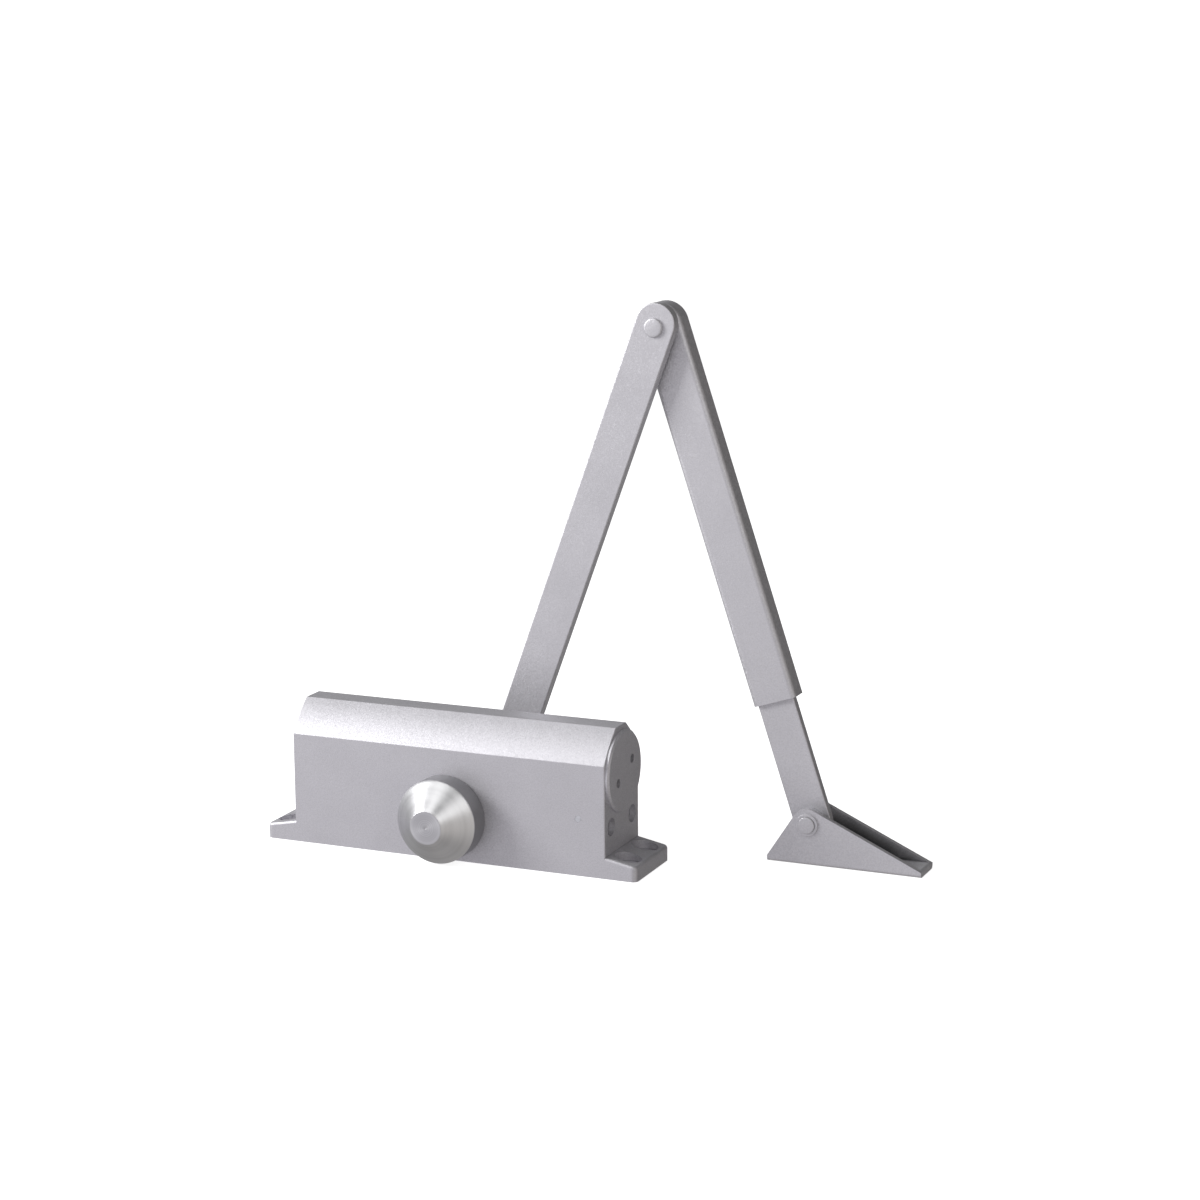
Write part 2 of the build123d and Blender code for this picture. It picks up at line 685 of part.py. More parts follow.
# ---- frame shoe -------------------------------------------------------------------------
def shoe_bracket():
    """U-shaped bracket: two cheeks that carry the pin, and a base with two fixing holes."""
    heel = pin_x - shoe_heel
    toe = pin_x + shoe_toe
    crown = Pos(pin_x, shoe_pin_height) * Circle(shoe_crown)
    foot = Polyline((heel, shoe_heel_height), (heel, 0), (toe, 0), (toe, shoe_toe_height))
    outline = make_hull(crown.edges() + foot.edges())
    outer_front = cheek_inner_front - shoe_cheek
    outer_back = cheek_inner_back + shoe_cheek
    block = plate(outline, outer_front, outer_back)
    bends = [e for e in block.edges().filter_by(Axis.X) if e.center().Z < 0.01]
    bracket = fillet(bends, shoe_bend)
    gap = Box(2 * (shoe_toe + shoe_heel + overrun), shoe_gap, shoe_pin_height + 2 * shoe_crown, align=FLOOR_UP)
    bracket -= Pos(pin_x, (cheek_inner_front + cheek_inner_back) / 2, shoe_base) * gap
    bracket -= drum(SHOE_PIN, pin_radius + static_fit, outer_front - overrun, outer_back + overrun)
    for number in range(2):
        x = pin_x - shoe_hole_in + number * shoe_hole_pitch
        spot = Pos(x, (cheek_inner_front + cheek_inner_back) / 2, 0)
        bracket -= spot * Cylinder(shoe_hole_radius, 3 * shoe_base)
        sink = shoe_sink_radius - shoe_hole_radius
        bracket -= spot * Pos(0, 0, shoe_base - sink) * Cone(shoe_hole_radius, shoe_sink_radius, sink, align=FLOOR_UP)
    return bracket


def shoe_pin():
    """Headed pin through the cheeks and the rod's eye."""
    front = cheek_inner_front - shoe_cheek
    back = cheek_inner_back + shoe_cheek
    pin = drum(SHOE_PIN, pin_radius, front, back)
    pin += drum(SHOE_PIN, pin_head_radius, front - pin_head_height / 2, front)
    button = drum(SHOE_PIN, pin_button_radius, front - pin_head_height, front)
    pin += fillet(button.edges().group_by(Axis.Y)[0], pin_head_height / 5)
    tail = drum(SHOE_PIN, pin_button_radius, back, back + pin_head_height / 2)
    return pin + fillet(tail.edges().group_by(Axis.Y)[-1], pin_head_height / 5)


def shoe_spacers():
    """Two spacers that keep the rod in the middle of the shoe."""
    bore = pin_radius + static_fit
    front = ring(SHOE_PIN, spacer_radius, bore, cheek_inner_front, rod_front - face_gap)
    back = ring(SHOE_PIN, spacer_radius, bore, rod_back + face_gap, cheek_inner_back)
    return Compound(children=[front, back])


nodes = {
    "closer_body": closer_body(),
    "left_end_cap": end_cap(-1),
    "right_end_cap": end_cap(1),
    "left_cap_o_ring": cap_o_ring(-1),
    "right_cap_o_ring": cap_o_ring(1),
    "front_bearing_nut": bearing_nut(-1),
    "rear_bearing_nut": bearing_nut(1),
    "front_needle_bearing": needle_bearing(-1),
    "rear_needle_bearing": needle_bearing(1),
    "front_pinion_seal": pinion_seal(-1),
    "rear_pinion_seal": pinion_seal(1),
    "pinion_cap": pinion_cap(),
    "passage_plug": passage_plug(),
    "sweep_valve_screw": valve_screw(-1),
    "sweep_valve_o_ring": valve_o_ring(-1),
    "latch_valve_screw": valve_screw(1),
    "latch_valve_o_ring": valve_o_ring(1),
    "pinion_shaft": pinion_shaft(),
    "main_arm": main_arm(),
    "arm_washer": arm_washer(),
    "arm_screw": arm_screw(),
    "elbow_rivet": elbow_rivet(),
    "elbow_washer": elbow_washer(),
    "piston": piston(),
    "check_ball": check_ball(),
    "check_plug": check_plug(),
    "check_spring": check_spring(),
    "outer_spring": outer_spring(),
    "inner_spring": inner_spring(),
    "forearm_channel": forearm_channel(),
    "clamp_stud": clamp_stud(),
    "clamp_plate": clamp_plate(),
    "clamp_nut": clamp_nut(),
    "adjusting_rod": adjusting_rod(),
    "shoe_bracket": shoe_bracket(),
    "shoe_pin": shoe_pin(),
    "shoe_spacers": shoe_spacers(),
}

os.makedirs("parts", exist_ok=True)
for name, shape in nodes.items():
    export_step(shape, f"parts/{name}.step")
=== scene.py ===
"""Door closer: finishes, fine turned and threaded shapes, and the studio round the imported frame."""
import json
import logging
import math
from collections.abc import Sequence
from dataclasses import dataclass, field
from enum import Enum

import bmesh
import bpy
from mathutils import Matrix, Vector


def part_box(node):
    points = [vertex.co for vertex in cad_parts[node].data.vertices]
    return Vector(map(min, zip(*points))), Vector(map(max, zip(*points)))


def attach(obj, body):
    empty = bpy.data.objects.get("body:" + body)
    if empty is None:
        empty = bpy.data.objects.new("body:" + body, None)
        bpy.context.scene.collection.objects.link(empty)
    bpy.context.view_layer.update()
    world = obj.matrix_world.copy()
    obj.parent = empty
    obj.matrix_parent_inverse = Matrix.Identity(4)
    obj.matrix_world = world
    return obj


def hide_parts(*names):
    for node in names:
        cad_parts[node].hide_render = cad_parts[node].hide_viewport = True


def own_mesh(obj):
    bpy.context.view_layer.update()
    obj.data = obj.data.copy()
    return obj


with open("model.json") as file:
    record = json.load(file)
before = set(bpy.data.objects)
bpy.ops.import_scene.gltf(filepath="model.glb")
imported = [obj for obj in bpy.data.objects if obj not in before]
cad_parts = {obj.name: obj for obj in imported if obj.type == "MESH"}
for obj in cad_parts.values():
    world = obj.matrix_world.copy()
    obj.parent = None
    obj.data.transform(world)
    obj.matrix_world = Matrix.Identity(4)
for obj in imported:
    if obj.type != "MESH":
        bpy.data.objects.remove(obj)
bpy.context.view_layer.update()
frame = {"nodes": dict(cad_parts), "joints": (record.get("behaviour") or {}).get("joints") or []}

log = logging.getLogger("door_closer")
MM = 0.001
Link = bpy.types.NodeSocket
Triple = tuple[float, float, float]
Colour = Triple
KNURLS = 40
KNURL_DEPTH = 0.16 * MM
THREAD_PITCH = 1.0 * MM
THREAD_DEPTH = 0.5 * MM
THREAD_ROWS = 8
WELD = 1e-6


# ---- shader expressions ---------------------------------------------------------------
class Maths(Enum):
    """Math node operations that expressions use."""

    ADD = "ADD"
    SUBTRACT = "SUBTRACT"
    MULTIPLY = "MULTIPLY"
    POWER = "POWER"
    SINE = "SINE"
    MAXIMUM = "MAXIMUM"


class Graph:
    """A node tree that finishes and the studio's world are written in."""

    def __init__(self, tree: bpy.types.NodeTree) -> None:
        """Start from an empty tree.

        Args:
            tree: the material's or world's node tree.
        """
        self.tree = tree
        tree.nodes.clear()

    def node(self, kind: str, settings: dict | None = None, **sockets: object) -> bpy.types.Node:
        """Add one node.

        Args:
            kind: the node's type name.
            settings: attributes set before the sockets.
            sockets: values or links by socket name, with spaces as underscores.

        Returns:
            The new node.
        """
        made = self.tree.nodes.new(kind)
        for name, value in (settings or {}).items():
            setattr(made, name, value)
        for name, value in sockets.items():
            self.connect(made, name, value)
        return made

    def connect(self, node: bpy.types.Node, name: str, value: object) -> None:
        """Set or link one input.

        Args:
            node: the node that owns the input.
            name: the input's name with spaces as underscores, or its number after an "n".
            value: a number, tuple, socket or Value.
        """
        key = name.replace("_", " ")
        if name[0] == "n" and name[1:].isdigit():
            target = node.inputs[int(name[1:])]
        else:
            target = next(s for s in node.inputs if s.name == key and s.enabled)
        if isinstance(value, Value):
            value = value.socket
        if isinstance(value, bpy.types.NodeSocket):
            self.tree.links.new(value, target)
        else:
            target.default_value = value

    def place(self) -> Link:
        """Position on the piece, in its own frame and in metres."""
        return self.node("ShaderNodeTexCoord").outputs["Object"]

    def noise(self, scale: float, detail: float = 2.0, place: Link | None = None) -> "Value":
        """Smooth noise.

        Args:
            scale: cycles per metre.
            detail: number of finer layers.
            place: position, the piece's own if left out.

        Returns:
            Noise about 0.5.
        """
        made = self.node("ShaderNodeTexNoise", {"noise_dimensions": "3D"}, Vector=place or self.place(),
                         Scale=scale, Detail=detail, Roughness=0.55)
        return Value(self, made.outputs[0])

    def cells(self, scale: float) -> bpy.types.Node:
        """Random cells.

        Args:
            scale: cells per metre.

        Returns:
            The Voronoi node, whose Color is random for each cell.
        """
        return self.node("ShaderNodeTexVoronoi", None, Vector=self.place(), Scale=scale)

    def axes(self, place: Link) -> tuple["Value", "Value", "Value"]:
        """Split a vector into its three numbers.

        Args:
            place: the vector.

        Returns:
            X, Y and Z.
        """
        split = self.node("ShaderNodeSeparateXYZ", None, Vector=place)
        return tuple(Value(self, out) for out in split.outputs)

    def stretched(self, scale: Triple) -> Link:
        """Position scaled differently along each axis.

        Args:
            scale: factor for X, Y and Z.

        Returns:
            The scaled position.
        """
        made = self.node("ShaderNodeVectorMath", {"operation": "MULTIPLY"}, n0=self.place(), n1=scale)
        return made.outputs[0]

    def blend(self, factor: "Value | float", low: object, high: object) -> Link:
        """Mix two colours.

        Args:
            factor: 0 gives low and 1 gives high.
            low: colour or link.
            high: colour or link.

        Returns:
            The mixed colour.
        """
        made = self.node("ShaderNodeMix", {"data_type": "RGBA"})
        self.connect(made, "n0", factor)
        for number, value in ((6, low), (7, high)):
            self.connect(made, f"n{number}", (*value, 1.0) if isinstance(value, tuple) else value)
        return made.outputs[2]

    def bump(self, height: "Value", depth: float, normal: Link | None = None) -> Link:
        """Turn a height into a shading normal.

        Args:
            height: height from 0 to 1.
            depth: metres between 0 and 1.
            normal: the normal to start from.

        Returns:
            The bumped normal.
        """
        made = self.node("ShaderNodeBump", None, Height=height, Distance=depth)
        if normal is not None:
            self.connect(made, "Normal", normal)
        return made.outputs[0]

    def glints(self, cells: bpy.types.Node, spread: float) -> Link:
        """Tilt the surface normal a little in each cell, as metal flakes lie in paint.

        Args:
            cells: a Voronoi node.
            spread: how far the flakes tilt, 0 to 1.

        Returns:
            The tilted normal.
        """
        centred = self.node("ShaderNodeVectorMath", {"operation": "SUBTRACT"}, n0=cells.outputs["Color"],
                            n1=(0.5, 0.5, 0.5))
        tilt = self.node("ShaderNodeVectorMath", {"operation": "SCALE"}, n0=centred.outputs[0], Scale=spread)
        normal = self.node("ShaderNodeNewGeometry").outputs["Normal"]
        total = self.node("ShaderNodeVectorMath", {"operation": "ADD"}, n0=normal, n1=tilt.outputs[0])
        return self.node("ShaderNodeVectorMath", {"operation": "NORMALIZE"}, n0=total.outputs[0]).outputs[0]

    def openness(self, reach: float) -> "Value":
        """How open the surface lies among the piece's own walls.

        Args:
            reach: how far a wall counts, in metres.

        Returns:
            1 in the open and 0 in a deep corner.
        """
        made = self.node("ShaderNodeAmbientOcclusion", {"only_local": True, "samples": 16}, Distance=reach)
        return Value(self, made.outputs["AO"])


class Value:
    """A number socket that takes part in Python expressions."""

    def __init__(self, graph: Graph, socket: Link) -> None:
        """Wrap a socket.

        Args:
            graph: the graph that the socket belongs to.
            socket: the number socket.
        """
        self.graph = graph
        self.socket = socket

    def apply(self, operation: Maths, *operands: "Value | float") -> "Value":
        """Add one Math node.

        Args:
            operation: what the node works out.
            operands: the node's inputs in order.

        Returns:
            The result.
        """
        sockets = {f"n{number}": operand for number, operand in enumerate(operands)}
        made = self.graph.node("ShaderNodeMath", {"operation": operation.value}, **sockets)
        return Value(self.graph, made.outputs[0])

    def __add__(self, other: "Value | float") -> "Value":
        """Sum."""
        return self.apply(Maths.ADD, self, other)

    def __radd__(self, other: float) -> "Value":
        """Reflected sum."""
        return self.apply(Maths.ADD, other, self)

    def __sub__(self, other: "Value | float") -> "Value":
        """Difference."""
        return self.apply(Maths.SUBTRACT, self, other)

    def __mul__(self, other: "Value | float") -> "Value":
        """Product."""
        return self.apply(Maths.MULTIPLY, self, other)

    def __rmul__(self, other: float) -> "Value":
        """Reflected product."""
        return self.apply(Maths.MULTIPLY, other, self)

    def __pow__(self, other: "Value | float") -> "Value":
        """Power."""
        return self.apply(Maths.POWER, self, other)

    def sine(self) -> "Value":
        """Sine of radians."""
        return self.apply(Maths.SINE, self)

    def ramp(self, start: float, end: float) -> "Value":
        """Smooth step.

        Args:
            start: where the result is 0.
            end: where the result is 1.

        Returns:
            The stepped number.
        """
        made = self.graph.node("ShaderNodeMapRange", {"interpolation_type": "SMOOTHSTEP"}, Value=self,
                               From_Min=start, From_Max=end, To_Min=0.0, To_Max=1.0)
        return Value(self.graph, made.outputs[0])


# ---- finishes ----------------------------------------------------------------------------
@dataclass(frozen=True)
class Finish:
    """A procedural finish that can be put on CAD nodes and on new pieces.

    Attributes:
        name: the material's name.
        slot: the record's material slot that it belongs to; not used.
        colour: base colour.
        roughness: middle roughness.
    """

    name: str
    slot: str
    colour: Colour
    roughness: float

    def material(self) -> bpy.types.Material:
        """Make the material, or find it if it is already made.

        Returns:
            The material.
        """
        found = bpy.data.materials.get(self.name)
        if found is not None:
            return found
        made = bpy.data.materials.new(self.name)
        made.use_nodes = True
        graph = Graph(made.node_tree)
        shader = graph.node("ShaderNodeBsdfPrincipled")
        self.shade(graph, shader)
        graph.node("ShaderNodeOutputMaterial", None, Surface=shader.outputs[0])
        return made

    def shade(self, graph: Graph, shader: bpy.types.Node) -> None:
        """Write the finish; each kind of finish has its own.

        Args:
            graph: the material's graph.
            shader: the Principled shader.
        """
        raise NotImplementedError

    def tone(self, share: float) -> Colour:
        """The finish's colour made darker or lighter.

        Args:
            share: factor on each channel, which stops at 1.

        Returns:
            The new colour.
        """
        return tuple(min(1.0, share * channel) for channel in self.colour)

    def put_on(self, piece: bpy.types.Object) -> None:
        """Give a piece this finish.

        Args:
            piece: the piece.
        """
        piece.data.materials.clear()
        piece.data.materials.append(self.material())


@dataclass(frozen=True)
class FlakePaint(Finish):
    """Metallic powder coat: satin, with fine aluminium flakes, a slight orange peel and painted shade in its
    own corners.

    Attributes:
        flake: flakes per metre.
        sparkle: how far the flakes tilt.
        peel: depth of the orange peel in metres.
        reach: how far walls reach to darken a corner with painted shade, in metres.
        shade_share: share of the colour that is left in a deep corner, as painted shade.
        fine: grain per metre.
        cloud: slow variation per metre.
        ripple: waves of the orange peel per metre.
    """

    flake: float = 2600.0
    sparkle: float = 0.13
    peel: float = 0.00002
    reach: float = 0.0012
    shade_share: float = 0.3
    fine: float = 5200.0
    cloud: float = 45.0
    ripple: float = 900.0

    def shade(self, graph: Graph, shader: bpy.types.Node) -> None:
        """Write the paint.

        Args:
            graph: the material's graph.
            shader: the Principled shader.
        """
        flakes = graph.cells(self.flake)
        bright, _, tone = graph.axes(flakes.outputs["Color"])
        fine = graph.noise(self.fine, 1.0)
        cloud = graph.noise(self.cloud, 3.0)
        level = 0.92 + 0.10 * bright + 0.14 * (fine - 0.5) + 0.06 * (cloud - 0.5)
        coat = graph.blend(level.ramp(0.84, 1.10), self.tone(0.86), self.tone(1.12))
        # Painted shade: the colour darkens in the piece's own corners and hollows, standing in for the shade
        # that falls there.
        painted_shade_mask = graph.openness(self.reach).ramp(0.25, 0.85)
        graph.connect(shader, "Base_Color", graph.blend(painted_shade_mask, self.tone(self.shade_share), coat))
        graph.connect(shader, "Metallic", 0.55 + 0.22 * tone)
        graph.connect(shader, "Roughness", self.roughness + 0.10 * (cloud - 0.5) + 0.06 * (fine - 0.5))
        tilted = graph.glints(flakes, self.sparkle)
        peel = graph.noise(self.ripple, 2.0)
        graph.connect(shader, "Normal", graph.bump(peel, self.peel, tilted))


@dataclass(frozen=True)
class TurnedMetal(Finish):
    """Bare metal with fine rings from turning, round the piece's own Z axis, and painted shade on its rim.

    Attributes:
        pitch: metres between rings.
        cut: depth of the rings in metres.
        pull: anisotropy of the highlights.
        rim: height of the rim, which is darkened as painted shade, in metres.
        edge: height over which the rim's painted shade fades out, in metres.
    """

    pitch: float = 0.00035
    cut: float = 0.000004
    pull: float = 0.6
    rim: float = 0.0101
    edge: float = 0.0003

    def shade(self, graph: Graph, shader: bpy.types.Node) -> None:
        """Write the turned metal.

        Args:
            graph: the material's graph.
            shader: the Principled shader.
        """
        x, y, z = graph.axes(graph.place())
        radius = (x * x + y * y) ** 0.5
        travel = radius + z
        rings = (travel * (2.0 * math.pi / self.pitch)).sine()
        lay = graph.node("ShaderNodeCombineXYZ", None, n0=travel, n1=0.0, n2=0.0).outputs[0]
        bands = graph.noise(2400.0, 3.0, lay)
        broad = graph.noise(420.0, 2.0, lay)
        smudge = graph.noise(60.0, 3.0)
        level = bands * 0.6 + broad * 0.3 + smudge * 0.1
        face = graph.blend(level.ramp(0.30, 0.70), self.tone(0.84), self.tone(1.10))
        # Painted shade: below the rim's top the colour drops to 0.55 of the face's, standing in for the dark
        # surroundings that the rim reflects.
        above = z.ramp(self.rim - self.edge, self.rim)
        graph.connect(shader, "Base_Color", graph.blend(above, self.tone(0.55), face))
        graph.connect(shader, "Metallic", 1.0)
        graph.connect(shader, "Roughness", self.roughness + 0.14 * (bands - 0.5) + 0.10 * (smudge - 0.5))
        shader.inputs["Anisotropic"].default_value = self.pull
        graph.connect(shader, "Normal", graph.bump(rings * 0.5 + bands, self.cut))


@dataclass(frozen=True)
class PlatedSteel(Finish):
    """Zinc-plated or ground steel with soft mottling and light scratches.

    Attributes:
        grain: fine marks per metre.
        mottle: strength of the colour's cloudiness.
        scratch: depth of the fine marks in metres.
    """

    grain: float = 1800.0
    mottle: float = 0.16
    scratch: float = 0.000006

    def shade(self, graph: Graph, shader: bpy.types.Node) -> None:
        """Write the steel.

        Args:
            graph: the material's graph.
            shader: the Principled shader.
        """
        cloud = graph.noise(220.0, 4.0)
        marks = graph.noise(self.grain, 2.0, graph.stretched((1.0, 0.15, 1.0)))
        deep, light = self.tone(1.0 - self.mottle), self.tone(1.0 + self.mottle)
        graph.connect(shader, "Base_Color", graph.blend(cloud.ramp(0.3, 0.7), deep, light))
        graph.connect(shader, "Metallic", 1.0)
        graph.connect(shader, "Roughness", self.roughness + 0.2 * (cloud - 0.5) + 0.1 * (marks - 0.5))
        graph.connect(shader, "Normal", graph.bump(marks, self.scratch))


@dataclass(frozen=True)
class Elastomer(Finish):
    """Black sealing rubber with a faint bloom.

    Attributes:
        grain: fine marks per metre.
        depth: depth of the fine marks in metres.
    """

    grain: float = 3000.0
    depth: float = 0.00001

    def shade(self, graph: Graph, shader: bpy.types.Node) -> None:
        """Write the rubber.

        Args:
            graph: the material's graph.
            shader: the Principled shader.
        """
        bloom = graph.noise(260.0, 4.0)
        graph.connect(shader, "Base_Color", graph.blend(bloom.ramp(0.45, 0.8), self.colour, self.tone(3.0)))
        graph.connect(shader, "Roughness", self.roughness + 0.2 * (bloom - 0.5))
        graph.connect(shader, "Normal", graph.bump(graph.noise(self.grain, 2.0), self.depth))


class Finishes(Enum):
    """The closer's finishes."""

    BODY_PAINT = FlakePaint("silver_paint_body", "painted_casting", (0.606, 0.597, 0.628), 0.50)
    # The arm paint's painted shade reaches further and goes darker, into the shoe's hollow and the channel.
    ARM_PAINT = FlakePaint("silver_paint_arm", "silver_paint", (0.632, 0.624, 0.650), 0.48,
                           flake=1700.0, sparkle=0.13, reach=0.02, shade_share=0.06)
    TURNED = TurnedMetal("turned_aluminium_cap", "turned_aluminium", (0.66, 0.66, 0.67), 0.32)
    ZINC = PlatedSteel("zinc_plate", "zinc_steel", (0.72, 0.73, 0.75), 0.24)
    GROUND = PlatedSteel("ground_steel", "ground_steel", (0.50, 0.51, 0.53), 0.24, grain=2600.0, mottle=0.08)
    SPRING = PlatedSteel("spring_wire", "spring_steel", (0.20, 0.21, 0.23), 0.36)
    IRON = PlatedSteel("machined_iron", "cast_iron", (0.24, 0.24, 0.25), 0.45, grain=1200.0, mottle=0.2)
    RUBBER = Elastomer("nitrile", "nitrile_rubber", (0.012, 0.012, 0.013), 0.55)


# ---- mesh tools --------------------------------------------------------------------------
def smooth_piece(name: str, mesh: bmesh.types.BMesh, sharp: float = 32.0) -> bpy.types.Object:
    """Turn a bmesh into a linked, smooth-shaded piece.

    Args:
        name: the piece's name.
        mesh: the bmesh, freed here.
        sharp: edges sharper than this many degrees stay crisp.

    Returns:
        The piece.
    """
    bmesh.ops.recalc_face_normals(mesh, faces=mesh.faces)
    data = bpy.data.meshes.new(name)
    mesh.to_mesh(data)
    mesh.free()
    data.polygons.foreach_set("use_smooth", [True] * len(data.polygons))
    data.set_sharp_from_angle(angle=math.radians(sharp))
    piece = bpy.data.objects.new(name, data)
    bpy.context.scene.collection.objects.link(piece)
    return piece


class Form(Enum):
    """Outline of one ring of a turned piece."""

    ROUND = "round"
    HEXAGON = "hexagon"
    KNURLED = "knurled"
    THREADED = "threaded"


@dataclass(frozen=True)
class Ring:
    """One ring of a turned piece.

    Attributes:
        radius: radius in metres, or half the width across the flats of a hexagon.
        height: place along the axis in metres.
        form: the ring's outline.
        crown: largest radius that a hexagon's corners reach, 0 for no limit.
    """

    radius: float
    height: float
    form: Form = Form.ROUND
    crown: float = 0.0

    def reach(self, angle: float) -> float:
        """Radius at an angle.

        Args:
            angle: radians round the axis.

        Returns:
            The radius in metres.
        """
        if self.form is Form.HEXAGON:
            sixth = math.pi / 3
            corner = self.radius / math.cos((angle + sixth / 2) % sixth - sixth / 2)
            return min(corner, self.crown) if self.crown else corner
        if self.form is Form.KNURLED:
            return self.radius - KNURL_DEPTH * (0.5 - 0.5 * math.cos(KNURLS * angle)) ** 2
        if self.form is Form.THREADED:
            phase = (self.height / THREAD_PITCH - angle / (2 * math.pi)) % 1.0
            return self.radius - THREAD_DEPTH * (1.0 - abs(2.0 * phase - 1.0))
        return self.radius


def revolve(rings: Sequence[Ring], steps: int) -> bmesh.types.BMesh:
    """Turn rings round Z and skin them.

    Args:
        rings: the rings in order; a radius of 0 closes on the axis.
        steps: number of steps round the axis.

    Returns:
        The turned bmesh.
    """
    mesh = bmesh.new()
    rows: list[list[bmesh.types.BMVert]] = []
    for ring in rings:
        if ring.radius == 0.0:
            rows.append([mesh.verts.new((0.0, 0.0, ring.height))])
            continue
        row = []
        for step in range(steps):
            angle = 2.0 * math.pi * step / steps
            reach = ring.reach(angle)
            row.append(mesh.verts.new((reach * math.cos(angle), reach * math.sin(angle), ring.height)))
        rows.append(row)
    pairs = list(zip(rows, rows[1:]))
    if rings[0].radius and rings[-1].radius and rings[0].height != rings[-1].height:
        pairs.append((rows[-1], rows[0]))
    for low, high in pairs:
        for step in range(steps):
            after = (step + 1) % steps
            corners = [low[step % len(low)], low[after % len(low)],
                       high[after % len(high)], high[step % len(high)]]
            unique = list(dict.fromkeys(corners))
            if len(unique) > 2:
                mesh.faces.new(unique)
    return mesh


def arc(centre: tuple[float, float], radius: float, start: float, end: float, steps: int) -> list[Ring]:
    """Points of a round corner.

    Args:
        centre: the arc's centre.
        radius: its radius.
        start: first angle in degrees.
        end: last angle in degrees.
        steps: number of steps.

    Returns:
        The points, both ends included.
    """
    points = []
    for step in range(steps + 1):
        angle = math.radians(start + (end - start) * step / steps)
        points.append(Ring(centre[0] + radius * math.cos(angle), centre[1] + radius * math.sin(angle)))
    return points


# ---- sub-assemblies -----------------------------------------------------------------------
def joint_travel(name: str) -> float:
    """Longest travel of a sliding joint from rest.

    Args:
        name: the joint's name in the frame.

    Returns:
        Travel in metres.
    """
    found = next(joint for joint in frame["joints"] if joint["name"] == name)
    return max(abs(limit) for limit in found["range_m"])


@dataclass
class Assembly:
    """A group of CAD nodes and new pieces that ride on one body.

    Attributes:
        body: the CAD body.
        finishes: the finish of each CAD node that stays.
    """

    body: str
    finishes: dict[str, Finishes] = field(default_factory=dict)

    def dress(self) -> None:
        """Give each CAD node its finish."""
        for node, finish in self.finishes.items():
            finish.value.put_on(frame["nodes"][node])
            log.info("%s: %s", node, finish.value.name)

    def add(self, piece: bpy.types.Object, finish: Finishes, node: str) -> None:
        """Put a new piece on this assembly's body.

        Args:
            piece: the piece, in its place.
            finish: its finish.
            node: the CAD node that it replaces.
        """
        finish.value.put_on(piece)
        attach(piece, self.body)
        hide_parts(node)
        log.info("%s: new piece, %s", piece.name, finish.value.name)

    def build(self) -> None:
        """Make the assembly's new pieces; the plain kind has none."""


@dataclass
class Turned(Assembly):
    """A piece turned round its own Z axis, which stands along Y in a CAD node's place.

    Attributes:
        node: the CAD node that it replaces.
        finish: its finish.
        steps: steps round the axis.
        forward: whether its Z axis points out of the front.
    """

    node: str = ""
    finish: Finishes = Finishes.ZINC
    steps: int = 96
    forward: bool = False

    def size(self) -> tuple[float, float]:
        """Radius and length of the node."""
        low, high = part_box(self.node)
        return (high.x - low.x) / 2, high.y - low.y

    def rings(self) -> list[Ring]:
        """Rings from one end to the other; each kind of piece has its own."""
        raise NotImplementedError

    def build(self) -> None:
        """Turn the piece and stand it in place."""
        low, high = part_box(self.node)
        start = high.y if self.forward else low.y
        turn = 90.0 if self.forward else -90.0
        piece = smooth_piece(f"{self.node}_turned", revolve(self.rings(), self.steps), 42.0)
        place = Matrix.Translation(((low.x + high.x) / 2, start, (low.z + high.z) / 2))
        piece.matrix_world = place @ Matrix.Rotation(math.radians(turn), 4, "X")
        self.add(piece, self.finish, self.node)


@dataclass
class ConeCap(Turned):
    """Cone-shaped cap on the spindle's front end.

    Attributes:
        edge: rounding of its edges.
        tip_ratio: radius of the flat tip over the cap's radius.
        rim_ratio: height of the rim over the whole height.
        cuts: rings along the rim and along the cone.
        hollow: radius and depth of the hollow round the spindle's end.
        centre: depths of the lathe's centre mark, at its edge and in the middle.
    """

    edge: float = 0.35 * MM
    tip_ratio: float = 7.4 / 18.7
    rim_ratio: float = 10.3 / 20.4
    cuts: int = 14
    hollow: tuple[float, float] = (14.7 * MM, 9.0 * MM)
    centre: tuple[float, float] = (0.15 * MM, 0.35 * MM)

    def rings(self) -> list[Ring]:
        """Rings from the bottom of the hollow, round the back face, to the tip."""
        radius, height = self.size()
        tip, rim, e = radius * self.tip_ratio, height * self.rim_ratio, self.edge
        lean = math.atan2(radius - tip, height - rim)
        facing = math.degrees(math.pi / 2 - lean)
        shift = e * math.tan((math.pi / 2 - lean) / 2)
        dip = e * math.tan(lean / 2)
        along = math.hypot(radius - tip, height - rim)
        bore, depth = self.hollow
        rings = [Ring(0.0, depth), Ring(bore, depth), Ring(bore, 0.0), Ring(radius - 2 * e, 0.0)]
        rings += arc((radius - e, e), e, -90.0, 0.0, 4)
        rings += [Ring(radius, e + (rim - shift - e) * step / self.cuts) for step in range(1, self.cuts)]
        rings += arc((radius - e, rim - shift), e, 0.0, 90.0 - math.degrees(lean), 4)
        for step in range(1, self.cuts):
            part = (shift + (along - shift - dip) * step / self.cuts) / along
            rings.append(Ring(radius + (tip - radius) * part, rim + (height - rim) * part))
        rings += arc((tip - dip, height - e), e, facing, 90.0, 4)
        rings += [Ring(tip * share, height) for share in (0.85, 0.6, 0.35, 0.12)]
        rings += [Ring(tip * 0.06, height - self.centre[0]), Ring(0.0, height - self.centre[1])]
        return rings


